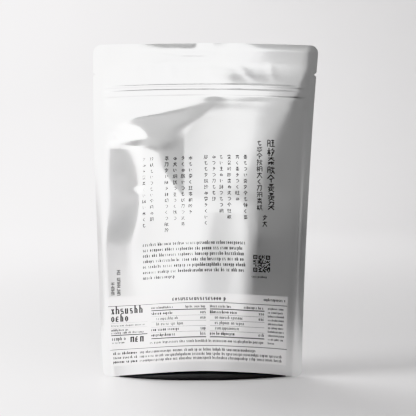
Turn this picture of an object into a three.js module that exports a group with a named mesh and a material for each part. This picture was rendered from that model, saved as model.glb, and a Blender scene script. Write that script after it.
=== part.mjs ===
// A sealed stand-up pouch of rice crackers, full and shut: the film bag with its contents, the
// dark bottom gusset that it stands on, and the adhesive label on its face.
// Millimetres, +Z up. The labelled face looks towards -Y. The origin is on the floor, under the
// middle of the pouch's box.
//
// The bag is drawn as two panels over one sheet of "panel coordinates": t runs across a panel,
// from -1 at the left side seal's inner line to +1 at the right one, and h is the height up a
// side seam. A panel's depth is its distance from the seam plane, y = 0.

import * as THREE from 'three';

// ---------------------------------------------------------------- driving dimensions

const HEIGHT = 206; // of the side seams, floor to top edge
const TOP_WIDTH = 140; // across the top edge, where the bag is flat
const BASE_WIDTH = 123.6; // corner to corner on the floor, drawn in by the open gusset
const SWAY = 3.1; // how far the filled middle leans to the left
const SWAY_HEIGHT = 65;

const SIDE_SEAL = 5.5; // width of the heat-sealed margins
const SEAL_THICKNESS = 0.5;
const TOP_SEAL_LINE = 194.2; // where the top seal ends, and the header's cavity begins
const LIP_LINE = 201.4; // crease between the sealed band and the lip above it
const TOP_CORNER_RADIUS = 5.2;
const BASE_CORNER_RADIUS = 3.5;
const TEAR_NOTCH = { height: 187.8, depth: 1.7, halfMouth: 1.1 };

const BASE_LIFT = 6.2; // the panels' bottom edges arch up this much in the middle
const TOP_LIFT = 1.0;

// The reclosable zip shows as a low band and a rib above it, pressed through the film.
const ZIP_RIDGES = [
  { height: 176.1, halfWidth: 2.3, relief: 0.35 },
  { height: 179.7, halfWidth: 1.1, relief: 0.35 },
];
const HEADER_FLUTES = { height: 187.5, halfHeight: 5.5, pitch: 9.3, relief: 0.22 };
const LIP_WAVE = { pitch: 58, amplitude: 0.55 };

// The forms of a panel as [height, value]: how far the packed crackers push its middle out, how
// steeply it rises from either side seal, how far in the right-hand rise reaches, and how far the
// empty header stands open.
const FILL_LINE = 112;
const FACE = [[0, 21.8], [22, 24.2], [50, 25.2], [84, 25.2], [FILL_LINE, 24.6], [HEIGHT, 22]];
const LEFT_RISE = [
  [0, 0.9], [30, 1.05], [60, 1.1], [84, 1.08], [112, 1.12], [141, 1.06], [147, 0.7], [160, 0.46],
  [176, 0.3], [HEIGHT, 0.2],
];
const RIGHT_RISE = [
  [0, 0.64], [30, 0.8], [49, 0.9], [84, 0.95], [103, 0.85], [116, 0.68], [140, 0.6], [168, 0.5],
  [HEIGHT, 0.4],
];
const RIGHT_REACH = [
  [0, 52], [30, 46], [49, 42], [84, 35], [103, 36], [128, 35], [140, 29], [152, 23], [162, 16.5],
  [168, 13], [HEIGHT, 9],
];
// Where the right-hand rise ends it still leans by this much, so that it meets the face in a ridge.
const RIGHT_LEAN = [[0, 0], [55, 0], [84, 0.22], [128, 0.17], [168, 0.15], [HEIGHT, 0.1]];
const HEADER = [
  [0, 3.4], [160, 3.2], [170, 3], [180, 2], [188, 0.8], [TOP_SEAL_LINE, 0], [HEIGHT, 0],
];

// The slack film over the filling goes back to the zip, and twists: near the zip it leans left. A
// valley runs up through it and turns right under the zip. Left of the valley a bank leans to the
// right low down and falls away to the left higher up; it ends in a shoulder over the left flank.
const SLACK = { depth: 20.7, climb: 0.25, place: 30, lean: -0.043, twist: 0.0016 };
const ZIP_PULL = { from: 165, climb: 0.12 };
const VALLEY = [[FILL_LINE, -14], [146, -13.5], [170, 5], [HEIGHT, 8]];
const LEFT_BANK = [[FILL_LINE, 0.3], [137, 0.3], [167, -0.16], [172, -0.16], [HEIGHT, 0]];
const SHOULDER = [[FILL_LINE, -25], [144, -33], [158, -44], [HEIGHT, -50]];
const SHOULDER_FALL = 0.4;
const RIGHT_FULLNESS = 1.7; // right of the valley the header stands this much fuller

// The side margins bend back out of the seam plane over these widths, the left one more low down;
// so does the header's right side.
const RIGHT_CURL = { width: 10, rate: 0.036 };
const LEFT_CURL = { width: 9, top: 0.01, more: 0.052 };
const HEADER_CURL = { from: 14, rate: 0.0018 };

const GUSSET_GAP = 0.3; // clearance between the gusset film and the panels' bottom edges
const GUSSET_INSET = 1.6; // how far its top stands inside the panels' edges
const GUSSET_FOOT_INSET = 3.2; // and its flat foot

// The label starts near the left seal and stops short of the right one.
const LABEL = { left: -0.985, right: 0.912, bottom: 6.3, top: 49.3, gap: 0.3, thickness: 0.3 };

const PANEL_COLUMNS = 36;
const BODY_ROWS = 32;
const CORNER_STEPS = 4;
const GUSSET_COLUMNS = 26;

// ---------------------------------------------------------------- outline of the bag

const smooth = (x) => {
  const c = Math.min(1, Math.max(0, x));
  return c * c * (3 - 2 * c);
};

function halfWidth(h) {
  return (BASE_WIDTH + (TOP_WIDTH - BASE_WIDTH) * (h / HEIGHT)) / 2;
}

function centreX(h) {
  const away = (h - SWAY_HEIGHT) / (HEIGHT - SWAY_HEIGHT);
  return -SWAY * (1 - away * away);
}

// How far the outer edge is cut back at a height: the round corners and the tear notches.
function edgeInset(h) {
  const roundedBy = (radius, distance) =>
    distance < radius ? radius - Math.sqrt(radius * radius - (radius - distance) ** 2) : 0;
  const notch = Math.max(0, 1 - Math.abs(h - TEAR_NOTCH.height) / TEAR_NOTCH.halfMouth);
  return Math.max(
    roundedBy(TOP_CORNER_RADIUS, HEIGHT - h),
    roundedBy(BASE_CORNER_RADIUS, h),
    TEAR_NOTCH.depth * notch,
  );
}

function lift(t, h) {
  const middle = BASE_LIFT + (TOP_LIFT - BASE_LIFT) * (h / HEIGHT);
  return Math.abs(t) < 1 ? middle * (1 - t * t) : 0;
}

// ---------------------------------------------------------------- depth of a panel

// A smooth curve through [x, y] stations, with slopes that never overshoot them.
function curveThrough(stations) {
  const n = stations.length;
  const secant = stations.slice(1).map(([x, y], i) => (y - stations[i][1]) / (x - stations[i][0]));
  const slope = stations.map((_, i) => {
    if (i === 0) return secant[0];
    if (i === n - 1) return secant[n - 2];
    const before = secant[i - 1];
    const after = secant[i];
    return before * after <= 0 ? 0 : (2 * before * after) / (before + after);
  });
  return (x) => {
    let i = 0;
    while (i < n - 2 && x > stations[i + 1][0]) i++;
    const [x0, y0] = stations[i];
    const [x1, y1] = stations[i + 1];
    const w = x1 - x0;
    const s = Math.min(1, Math.max(0, (x - x0) / w));
    const near = (1 + 2 * s) * (1 - s) ** 2 * y0 + s * (1 - s) ** 2 * w * slope[i];
    const far = s * s * (3 - 2 * s) * y1 - s * s * (1 - s) * w * slope[i + 1];
    return near + far;
  };
}

const softMin = (a, b, k) => Math.min(a, b) - k * Math.log1p(Math.exp(-Math.abs(a - b) / k));
const softMax = (a, b, k) => -softMin(-a, -b, k);
const softRamp = (x, width) => softMax(0, x, width);

function zipRelief(h) {
  return ZIP_RIDGES.reduce((sum, ridge) => {
    const away = Math.abs(h - ridge.height) / ridge.halfWidth;
    return sum + (away < 1 ? ridge.relief * (1 - away ** 3) : 0);
  }, 0);
}

function fluteRelief(t, h) {
  const { height, halfHeight, pitch, relief } = HEADER_FLUTES;
  const band = smooth(1.4 - Math.abs(h - height) / halfHeight);
  return band * relief * Math.sin((2 * Math.PI * t * (halfWidth(h) - SIDE_SEAL)) / pitch);
}

const faceDepth = curveThrough(FACE);
const leftRise = curveThrough(LEFT_RISE);
const rightRise = curveThrough(RIGHT_RISE);
const rightReach = curveThrough(RIGHT_REACH);
const rightLean = curveThrough(RIGHT_LEAN);
const headerDepth = curveThrough(HEADER);
const valleyPlace = curveThrough(VALLEY);
const leftBank = curveThrough(LEFT_BANK);
const shoulderPlace = curveThrough(SHOULDER);

// Closes a panel's depth into the header above, and down to the side seals.
function closed(depth, header, t, h, toSeal) {
  const intoHeader = smooth((h - 169) / 8);
  const open = depth * (1 - intoHeader) + header * (1 - Math.abs(t) ** 8) * intoHeader;
  return Math.max(0, open) * (1 - Math.exp(-toSeal / 1.5));
}

// The slack film above the fill line.
function slackDepth(x, h) {
  const over = Math.max(-12, h - FILL_LINE);
  const up = Math.max(FILL_LINE, h);
  const valley = valleyPlace(up);
  const lean = SLACK.lean + SLACK.twist * over;
  const plane = SLACK.depth - SLACK.climb * over + lean * (Math.max(x, valley) - SLACK.place);
  const bank = leftBank(up) * Math.max(0, valley - x);
  const pulled = ZIP_PULL.climb * softRamp(h - ZIP_PULL.from, 1);
  return plane + bank - pulled - SHOULDER_FALL * softRamp(shoulderPlace(up) - x, 2);
}

// The labelled panel: a full face up to the fill line, and slack film above it.
function frontBulge(t, h) {
  const room = halfWidth(h) - SIDE_SEAL;
  const x = centreX(h) + t * room;
  const fromLeft = (t + 1) * room;
  const fromRight = (1 - t) * room;

  const low = smooth((104 - h) / 62);
  const aside = Math.max(0, 6 - 17 * low - x);
  const face = faceDepth(h) - 0.03 * (1 - low) * aside - (0.0011 + 0.0056 * low) * aside * aside;
  const header = headerDepth(h) + RIGHT_FULLNESS * smooth((x - 2) / 16) * smooth((192 - h) / 16);
  const floor = header + 0.04 * Math.min(24, Math.max(0, -12 - x)) * smooth((180 - h) / 18);
  const above = softMax(slackDepth(x, h), floor, 1);

  const held = 4 * smooth((h - 80) / 30) * smooth((170 - h) / 20) + 0.01;
  const left = leftRise(h) * (fromLeft - held * (1 - Math.exp(-fromLeft / held)));
  const reach = rightReach(h);
  const inward = Math.min(fromRight, reach);
  const lean = rightLean(h);
  const bend = (rightRise(h) - lean) * (inward - inward ** 3 / (3 * reach ** 2));
  const right = lean * inward + bend + Math.max(lean, 0.15) * Math.max(0, fromRight - reach);

  const overFill = softMin(above, face, 0.3 + 2.4 * smooth((x + 10) / 30));
  const overRight = softMin(overFill, right, 1);
  const upperLeft = 1.8 * smooth((h - 112) / 6) * smooth((156 - h) / 12);
  const depth = softMin(overRight, left, 1.2 + 1.2 * smooth((70 - h) / 30) + upperLeft);
  return closed(depth, header, t, h, Math.min(fromLeft, fromRight));
}

// The plain panel: the same filling, with a broad slack facet at either side of the top.
function backBulge(t, h) {
  const room = halfWidth(h) - SIDE_SEAL;
  const x = centreX(h) + t * room;
  const fromLeft = (t + 1) * room;
  const fromRight = (1 - t) * room;
  const above = h - FILL_LINE;
  const face = faceDepth(h) + 0.6 - 0.0034 * (x + 4) ** 2;
  const fold = 22.5 - 0.34 * above - 0.05 * (x - 8);
  const drape = 23.5 - 0.31 * above + 0.07 * (x + 6);
  const upper = softMax(softMin(fold, drape, 0.6), headerDepth(h), 0.6);
  const rise = 0.94 * leftRise(h + 4);
  const overFill = softMin(upper, face, 0.9);
  const overLeft = softMin(overFill, rise * fromLeft, 1.3);
  const depth = softMin(overLeft, 0.9 * rise * fromRight, 1.6);
  return closed(depth, headerDepth(h), t, h, Math.min(fromLeft, fromRight));
}

function panelDepth(bulge, t, h) {
  if (Math.abs(t) >= 1) return SEAL_THICKNESS / 2;
  const hold = 1 - Math.abs(t) ** 14; // relief dies away at the side seals
  return SEAL_THICKNESS / 2 + bulge(t, h) + hold * (zipRelief(h) + fluteRelief(t, h));
}

const frontDepth = (t, h) => panelDepth(frontBulge, t, h);
const backDepth = (t, h) => panelDepth(backBulge, t, h);

// Where the two panels' shared middle surface stands: the margins curl back, and the lip above
// the seal waves.
function seamPlace(t, h) {
  const x = acrossBag(t, h);
  const intoRight = Math.max(0, x - (centreX(h) + halfWidth(h)) + RIGHT_CURL.width);
  const intoLeft = Math.max(0, centreX(h) - halfWidth(h) + LEFT_CURL.width - x);
  const right = RIGHT_CURL.rate * intoRight ** 2;
  const left = (LEFT_CURL.top + LEFT_CURL.more * smooth((170 - h) / 90)) * intoLeft ** 2;
  const margins = (right + left) * (0.4 + 0.6 * smooth(h / 60));
  const header = HEADER_CURL.rate * Math.max(0, x - HEADER_CURL.from) ** 2 * smooth((h - 90) / 80);
  const rise = smooth((h - TEAR_NOTCH.height) / (HEIGHT - TEAR_NOTCH.height));
  const wave = LIP_WAVE.amplitude * rise * Math.sin((2 * Math.PI * x) / LIP_WAVE.pitch + 0.6);
  return margins + header + wave;
}

// ---------------------------------------------------------------- mesh building

// One closed body from two grids of points with the same rows and columns, walled at the rim.
// Each grid is an array of rows; `outer` faces out of the body and `inner` backs it.
function slabBetween(outer, inner) {
  const rows = outer.length;
  const columns = outer[0].length;
  const positions = [...outer.flat(), ...inner.flat()].flat();
  const out = (i, j) => i * columns + j;
  const back = (i, j) => (rows + i) * columns + j;
  const index = [];
  const quad = (a, b, c, d) => index.push(a, b, c, a, c, d);
  for (let i = 0; i < rows - 1; i++) {
    for (let j = 0; j < columns - 1; j++) {
      quad(out(i, j), out(i, j + 1), out(i + 1, j + 1), out(i + 1, j));
      quad(back(i, j), back(i + 1, j), back(i + 1, j + 1), back(i, j + 1));
    }
    quad(out(i, 0), out(i + 1, 0), back(i + 1, 0), back(i, 0));
    const last = columns - 1;
    quad(out(i, last), back(i, last), back(i + 1, last), out(i + 1, last));
  }
  for (let j = 0; j < columns - 1; j++) {
    const top = rows - 1;
    quad(out(0, j), back(0, j), back(0, j + 1), out(0, j + 1));
    quad(out(top, j), out(top, j + 1), back(top, j + 1), back(top, j));
  }
  const geometry = new THREE.BufferGeometry();
  geometry.setAttribute('position', new THREE.Float32BufferAttribute(positions, 3));
  geometry.setIndex(index);
  geometry.computeVertexNormals();
  return geometry;
}

function steps(from, to, count) {
  return Array.from({ length: count + 1 }, (_, i) => from + ((to - from) * i) / count);
}

// Heights of the bag's rows: fine where the outline or the relief turns, even in between, with
// the label's two edges among them.
function bagRows() {
  const corner = (radius) =>
    steps(0, Math.PI / 2, CORNER_STEPS).map((angle) => radius * (1 - Math.cos(angle)));
  const ridges = ZIP_RIDGES.flatMap(({ height, halfWidth: w }) =>
    [-1, -0.75, 0, 0.75, 1].map((s) => height + s * w),
  );
  const { height: notch, halfMouth } = TEAR_NOTCH;
  const rows = [
    ...corner(BASE_CORNER_RADIUS),
    ...steps(BASE_CORNER_RADIUS, ZIP_RIDGES[0].height - 3.2, BODY_ROWS),
    ...ridges,
    182.6, 184.6, notch - halfMouth, notch, notch + halfMouth, 191.4,
    TOP_SEAL_LINE, 198, LIP_LINE - 1,
    ...corner(TOP_CORNER_RADIUS).map((distance) => HEIGHT - distance),
    LABEL.bottom, LABEL.top,
  ];
  return [...new Set(rows.map((h) => Number(h.toFixed(3))))].sort((a, b) => a - b);
}

// Places across a panel, closer together near the seals, with the label's sides among them and
// the outer edges at both ends.
function bagColumns() {
  const even = steps(-1, 1, PANEL_COLUMNS).map((s) => 0.75 * s + 0.25 * Math.sin((Math.PI / 2) * s));
  const clear = even.filter((t) => Math.min(Math.abs(t - LABEL.left), Math.abs(t - LABEL.right)) > 0.012);
  return [-Infinity, ...[...clear, LABEL.left, LABEL.right].sort((a, b) => a - b), Infinity];
}

// The x of a place across the bag: an infinite t is the outer edge.
function acrossBag(t, h) {
  if (Number.isFinite(t)) return centreX(h) + t * (halfWidth(h) - SIDE_SEAL);
  return centreX(h) + Math.sign(t) * (halfWidth(h) - edgeInset(h));
}

function pointOnBag(t, h, side) {
  const inside = Math.min(1, Math.max(-1, t));
  const depth = side < 0 ? frontDepth(inside, h) : backDepth(inside, h);
  const x = acrossBag(t, h);
  return [x, seamPlace(t, h) + side * depth, h + lift(inside, h)];
}

function bagGeometry() {
  const rows = bagRows();
  const columns = bagColumns();
  const panel = (side) => rows.map((h) => columns.map((t) => pointOnBag(t, h, side)));
  return slabBetween(panel(-1), panel(1));
}

// A strip that lies on the front panel, a little clear of it, with the panel's own rows and columns.
function labelGeometry() {
  const { left, right, bottom, top, gap, thickness } = LABEL;
  const within = (places, low, high) => places.filter((p) => p >= low && p <= high);
  const rows = within(bagRows(), bottom, top);
  const columns = within(bagColumns(), left, right);
  const sheet = (offset) =>
    rows.map((h) =>
      columns.map((t) => {
        const [x, y, z] = pointOnBag(t, h, -1);
        return [x, y - offset, z];
      }),
    );
  return slabBetween(sheet(gap + thickness), sheet(gap));
}

// The film under the bag, pushed down by the contents to a flat foot between the two arches.
function gussetGeometry() {
  const end = Math.sqrt(1 - (GUSSET_GAP + 0.7) / BASE_LIFT); // where it has thinned to its edge
  const columns = steps(-end, end, GUSSET_COLUMNS);
  const section = (t) => {
    const x = acrossBag(t, 0);
    const top = lift(t, 0) - GUSSET_GAP;
    const narrow = 1 - 0.35 * (t / end) ** 2;
    const front = seamPlace(t, 0) - (frontDepth(t, 0) - GUSSET_INSET * narrow);
    const back = seamPlace(t, 0) + backDepth(t, 0) - GUSSET_INSET * narrow;
    const foot = (GUSSET_FOOT_INSET - GUSSET_INSET) * narrow;
    return {
      upper: [[x, front, top], [x, back, top]],
      lower: [[x, front, 0.55 * top], [x, front + 0.35 * foot, 0.2 * top], [x, front + foot, 0],
        [x, back - foot, 0], [x, back - 0.35 * foot, 0.2 * top], [x, back, 0.55 * top]],
    };
  };
  const ring = columns.map((t) => {
    const { upper, lower } = section(t);
    return [upper[0], ...lower, upper[1]];
  });
  return tubeThrough(ring);
}

// A closed body through rings of points, with its two end rings capped.
function tubeThrough(rings) {
  const count = rings[0].length;
  const positions = rings.flat().flat();
  const at = (i, j) => i * count + (j % count);
  const index = [];
  for (let i = 0; i < rings.length - 1; i++) {
    for (let j = 0; j < count; j++) {
      index.push(at(i, j), at(i, j + 1), at(i + 1, j + 1), at(i, j), at(i + 1, j + 1), at(i + 1, j));
    }
  }
  const last = rings.length - 1;
  for (let j = 1; j < count - 1; j++) {
    index.push(at(0, 0), at(0, j + 1), at(0, j));
    index.push(at(last, 0), at(last, j), at(last, j + 1));
  }
  const geometry = new THREE.BufferGeometry();
  geometry.setAttribute('position', new THREE.Float32BufferAttribute(positions, 3));
  geometry.setIndex(index);
  geometry.computeVertexNormals();
  return geometry;
}

// ---------------------------------------------------------------- the pouch

function piece(name, geometry, colour, roughness, metalness) {
  const material = new THREE.MeshStandardMaterial({ color: colour, roughness, metalness });
  const mesh = new THREE.Mesh(geometry, material);
  mesh.name = name;
  return mesh;
}

const pouch = new THREE.Group();
pouch.add(piece('pouch', bagGeometry(), 0xd9dadb, 0.38, 0.7));
pouch.add(piece('gusset', gussetGeometry(), 0x2b2d2d, 0.5, 0.1));
pouch.add(piece('label', labelGeometry(), 0xf4f2f0, 0.7, 0.0));

export default pouch;
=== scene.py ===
"""A sealed stand-up pouch of rice crackers: the film bag, its bottom gusset and its paper label."""

import math
import random

import bpy
import numpy as np
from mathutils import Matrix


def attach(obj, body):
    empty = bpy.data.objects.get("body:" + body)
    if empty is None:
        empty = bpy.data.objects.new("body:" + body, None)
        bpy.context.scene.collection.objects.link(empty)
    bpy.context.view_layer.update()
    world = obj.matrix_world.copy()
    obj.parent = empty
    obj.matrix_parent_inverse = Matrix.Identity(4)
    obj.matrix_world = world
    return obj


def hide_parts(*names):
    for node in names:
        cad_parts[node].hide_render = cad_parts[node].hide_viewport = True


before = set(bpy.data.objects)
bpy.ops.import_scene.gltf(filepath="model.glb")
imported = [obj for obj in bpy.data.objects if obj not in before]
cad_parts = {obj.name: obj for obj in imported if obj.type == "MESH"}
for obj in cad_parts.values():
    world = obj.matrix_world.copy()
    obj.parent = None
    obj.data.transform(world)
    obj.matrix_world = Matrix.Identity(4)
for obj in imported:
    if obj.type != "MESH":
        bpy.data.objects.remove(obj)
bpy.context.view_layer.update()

# ------------------------------------------------------------------------------------------------
# The film bag.
# Two panels of matte metallised film, heat-sealed to each other along the sides and the top, with
# a press-to-close zip below the top seal. Full of crackers and air, so both panels bulge.

# Sizes are in millimetres. "t" runs across a panel from one side seal's inner line (-1) to the
# other's (+1), "x" is the same place in mm, and "h" is the height up a side seam.
MM = 0.001

HEIGHT = 206.0
TOP_WIDTH = 140.0
BASE_WIDTH = 123.6
SWAY, SWAY_HEIGHT = 3.1, 65.0  # the filled middle leans a little to the left
SIDE_SEAL = 5.5
FILM_EDGE = 0.34  # two plies, sealed
TOP_SEAL_LINE, LIP_LINE = 194.2, 201.4
TOP_CORNER_RADIUS = 5.2
BASE_CORNER_RADIUS = 3.5
BASE_LIFT, TOP_LIFT = 6.2, 1.0  # the bottom edges arch up over the gusset
NOTCH_HEIGHT, NOTCH_DEPTH, NOTCH_HALF_MOUTH = 187.8, 1.7, 1.1
FILL_LINE = 112.0  # the crackers reach this high


def smooth(x):
    x = np.clip(x, 0.0, 1.0)
    return x * x * (3 - 2 * x)


def ramp(x, start, end):
    """Goes smoothly from 0 at start to 1 at end."""
    return smooth((x - start) / (end - start))


def soft_min(a, b, k):
    return -k * np.logaddexp(-a / k, -b / k)


def soft_max(a, b, k):
    return k * np.logaddexp(a / k, b / k)


def half_width(h):
    return (BASE_WIDTH + (TOP_WIDTH - BASE_WIDTH) * h / HEIGHT) / 2


def centre_x(h):
    away = (h - SWAY_HEIGHT) / (HEIGHT - SWAY_HEIGHT)
    return -SWAY * (1 - away ** 2)


def lift(t, h):
    return (BASE_LIFT + (TOP_LIFT - BASE_LIFT) * h / HEIGHT) * np.clip(1 - t * t, 0, 1)


def rounded_by(radius, distance):
    d = np.clip(distance, 0, radius)
    return radius - np.sqrt(np.clip(radius ** 2 - (radius - d) ** 2, 0, None))


def edge_inset(h):
    """How far the cut edge stands back: round corners, and a tear notch at either side."""
    notch = NOTCH_DEPTH * np.clip(1 - np.abs(h - NOTCH_HEIGHT) / NOTCH_HALF_MOUTH, 0, 1)
    corners = np.maximum(rounded_by(TOP_CORNER_RADIUS, HEIGHT - h), rounded_by(BASE_CORNER_RADIUS, h))
    return np.maximum(notch, corners)


def curve_through(stations, x):
    """A smooth curve through (x, y) stations that never overshoots them."""
    xs, ys = np.array(stations, float).T
    secant = np.diff(ys) / np.diff(xs)
    slope = np.concatenate([secant[:1], np.zeros(len(xs) - 2), secant[-1:]])
    for i in range(1, len(xs) - 1):
        before, after = secant[i - 1], secant[i]
        slope[i] = 0 if before * after <= 0 else 2 * before * after / (before + after)
    i = np.clip(np.searchsorted(xs, x, side="right") - 1, 0, len(xs) - 2)
    w = xs[i + 1] - xs[i]
    s = np.clip((x - xs[i]) / w, 0, 1)
    near = (1 + 2 * s) * (1 - s) ** 2 * ys[i] + s * (1 - s) ** 2 * w * slope[i]
    far = s * s * (3 - 2 * s) * ys[i + 1] - s * s * (1 - s) * w * slope[i + 1]
    return near + far


# The forms of a panel, as (height, value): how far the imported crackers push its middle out, how
# steeply it rises from either side seal, and how far in the right-hand rise reaches.
FACE = ((0, 21.8), (22, 24.2), (50, 25.2), (84, 25.2), (112, 24.6), (HEIGHT, 22))
LEFT_RISE = ((0, 0.9), (30, 1.05), (60, 1.1), (84, 1.08), (112, 1.12), (141, 1.06), (147, 0.7),
             (160, 0.46), (176, 0.3), (HEIGHT, 0.2))
RIGHT_RISE = ((0, 0.64), (30, 0.8), (49, 0.9), (84, 0.95), (103, 0.85), (116, 0.68), (140, 0.6),
              (168, 0.5), (HEIGHT, 0.4))
RIGHT_REACH = ((0, 52), (30, 46), (49, 42), (84, 35), (103, 36), (128, 35), (140, 29), (152, 23),
               (162, 16.5), (168, 13), (HEIGHT, 9))
# Where the right-hand rise ends it still leans by this much, so that it meets the face in a ridge,
# and further in by no less than the minimum.
RIGHT_LEAN = ((0, 0), (55, 0), (84, 0.22), (128, 0.17), (168, 0.15), (HEIGHT, 0.1))
RIGHT_MIN_LEAN = 0.15
# How far the empty header stands open, and how much fuller it stands right of the valley.
HEADER = ((0, 3.4), (160, 3.2), (170, 3.0), (180, 2.0), (188, 0.8), (TOP_SEAL_LINE, 0), (HEIGHT, 0))
RIGHT_FULLNESS = 1.7
INTO_HEADER = 169, 177  # the filling's form goes over into the header's between these heights
# Under the slack film it stands fuller towards the left: from this place, over this width, and by
# this much per mm.
FULLER_LEFT_FROM, FULLER_LEFT_WIDTH, FULLER_LEFT = -12, 24, 0.04

# From the crest the face falls away to the left; in the lower part the crest lies further left
# and the fall is rounder.
LOWER_PART = 104, 42  # from not at all to fully
CREST, CREST_SHIFT = 6, 17
FALL, FALL_CURVE, LOWER_FALL_CURVE = 0.03, 0.0011, 0.0056

# The slack film over the filling goes back to the zip, and twists: near the zip it leans left. A
# valley runs up through it and turns right under the zip. Left of the valley a bank leans to the
# right low down and falls away to the left higher up; it ends in a shoulder over the left flank.
SLACK_DEPTH, SLACK_CLIMB, SLACK_PLACE = 20.7, 0.25, 30.0
SLACK_LEAN, SLACK_TWIST = -0.043, 0.0016
SLACK_OVERLAP = 12  # it is laid out from this far below the fill line
ZIP_PULL_FROM, ZIP_PULL = 165.0, 0.12
VALLEY = ((FILL_LINE, -14), (146, -13.5), (170, 5), (HEIGHT, 8))
LEFT_BANK = ((FILL_LINE, 0.3), (137, 0.3), (167, -0.16), (172, -0.16), (HEIGHT, 0))
SHOULDER = ((FILL_LINE, -25), (144, -33), (158, -44), (HEIGHT, -50))
SHOULDER_FALL = 0.4

# The upper left margin holds the film flat over about this width; between the first two heights
# it sets in, and between the other two it ends.
MARGIN_HOLD, HOLD_SETS_IN, HOLD_ENDS = 4.0, (80, 110), (170, 150)
SEAL_EASE = 1.5  # how softly the film leaves the seals


def soft_ramp(x, width):
    return width * np.logaddexp(0, x / width)


def closed(depth, header, t, h, to_seal):
    """Takes the filling's depth over into the header's, and closes both onto the seals."""
    into_header = ramp(h, *INTO_HEADER)
    depth = depth * (1 - into_header) + header * (1 - np.abs(t) ** 8) * into_header
    return np.clip(depth, 0, None) * (1 - np.exp(-to_seal / SEAL_EASE))


def front_bulge(t, h):
    """The labelled panel: a full face up to the fill line, and slack film above it at the left."""
    room = half_width(h) - SIDE_SEAL
    x = centre_x(h) + t * room
    from_left, from_right = (t + 1) * room, (1 - t) * room
    low = ramp(h, *LOWER_PART)
    aside = np.clip(CREST - CREST_SHIFT * low - x, 0, None)
    slope, curve = FALL * (1 - low), FALL_CURVE + LOWER_FALL_CURVE * low
    face = curve_through(FACE, h) - slope * aside - curve * aside ** 2

    over = np.clip(h - FILL_LINE, -SLACK_OVERLAP, None)
    filled = np.maximum(h, FILL_LINE)
    valley = curve_through(VALLEY, filled)
    left_bank = curve_through(LEFT_BANK, filled) * np.clip(valley - x, 0, None)
    shoulder = curve_through(SHOULDER, filled) - x
    lean = SLACK_LEAN + SLACK_TWIST * over
    slack = SLACK_DEPTH - SLACK_CLIMB * over + lean * (np.maximum(x, valley) - SLACK_PLACE)
    slack = slack - ZIP_PULL * soft_ramp(h - ZIP_PULL_FROM, 1.0)
    slack = slack + left_bank - SHOULDER_FALL * soft_ramp(shoulder, 2.0)
    header = curve_through(HEADER, h) + RIGHT_FULLNESS * ramp(x, 2, 18) * ramp(h, 192, 176)
    fuller = FULLER_LEFT * np.clip(FULLER_LEFT_FROM - x, 0, FULLER_LEFT_WIDTH) * ramp(h, 180, 162)
    above = soft_max(slack, header + fuller, 1.0)

    held = MARGIN_HOLD * ramp(h, *HOLD_SETS_IN) * ramp(h, *HOLD_ENDS) + 0.01  # never quite 0
    left = curve_through(LEFT_RISE, h) * (from_left - held * (1 - np.exp(-from_left / held)))
    reach = curve_through(RIGHT_REACH, h)
    inward = np.minimum(from_right, reach)
    rise = curve_through(RIGHT_RISE, h)
    lean = curve_through(RIGHT_LEAN, h)
    right = lean * inward + (rise - lean) * (inward - inward ** 3 / (3 * reach ** 2))
    right = right + np.maximum(lean, RIGHT_MIN_LEAN) * np.maximum(from_right - reach, 0)

    # How broadly these forms round over into one another.
    face_ridge = 0.3 + 2.4 * ramp(x, -10, 20)
    left_ridge = 1.2 + 1.2 * ramp(h, 70, 40) + 1.8 * ramp(h, FILL_LINE, 118) * ramp(h, 156, 144)
    depth = soft_min(above, face, face_ridge)
    depth = soft_min(depth, right, 1.0)
    depth = soft_min(depth, left, left_ridge)
    return closed(depth, header, t, h, np.minimum(from_left, from_right))


# The back panel is a little fuller and rises less steeply. Its two slack facets, right and left,
# are planes: depth at the fill line, climb, lean across, and where across that depth holds.
BACK_RISE, BACK_RIGHT_RISE, BACK_RISE_SHIFT = 0.94, 0.9, 4
BACK_FULLNESS, BACK_CURVE, BACK_CREST = 0.6, 0.0034, -4
BACK_FACETS = ((22.5, 0.34, -0.05, 8), (23.5, 0.31, 0.07, -6))


def back_bulge(t, h):
    """The plain panel: the same filling, with one broad slack facet at either side of the top."""
    room = half_width(h) - SIDE_SEAL
    x = centre_x(h) + t * room
    from_left, from_right = (t + 1) * room, (1 - t) * room
    face = curve_through(FACE, h) + BACK_FULLNESS - BACK_CURVE * (x - BACK_CREST) ** 2
    header = curve_through(HEADER, h)
    right_facet, left_facet = [depth - climb * (h - FILL_LINE) + lean * (x - place)
                               for depth, climb, lean, place in BACK_FACETS]
    above = soft_max(soft_min(right_facet, left_facet, 0.6), header, 0.6)
    rise = BACK_RISE * curve_through(LEFT_RISE, h + BACK_RISE_SHIFT)
    depth = soft_min(above, face, 0.9)
    depth = soft_min(depth, rise * from_left, 1.3)
    depth = soft_min(depth, BACK_RIGHT_RISE * rise * from_right, 1.6)
    return closed(depth, header, t, h, np.minimum(from_left, from_right))


# The reclosable zip shows through as a low band and a rib above it: height, half width, how
# wide their flanks are, and relief.
ZIP_RIDGES = ((175.1, 2.4, 1.1, 0.34), (179.5, 1.2, 1.1, 0.26))


def zip_relief(h):
    total = np.zeros_like(h)
    for height, half, flank, relief in ZIP_RIDGES:
        total += relief * smooth((half - np.abs(h - height)) / flank)
    return total


# The side margins bend back: over what width and how strongly, at the left less towards the top.
RIGHT_CURL_WIDTH, RIGHT_CURL = 10, 0.036
LEFT_CURL_WIDTH, LEFT_CURL_TOP, LEFT_CURL_MORE = 9, 0.01, 0.052
FOOT_CURL = 0.4  # the share of it that is left at the floor
# And so does the right of the header, from this place across.
HEADER_CURL_FROM, HEADER_CURL = 14, 0.0018


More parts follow.
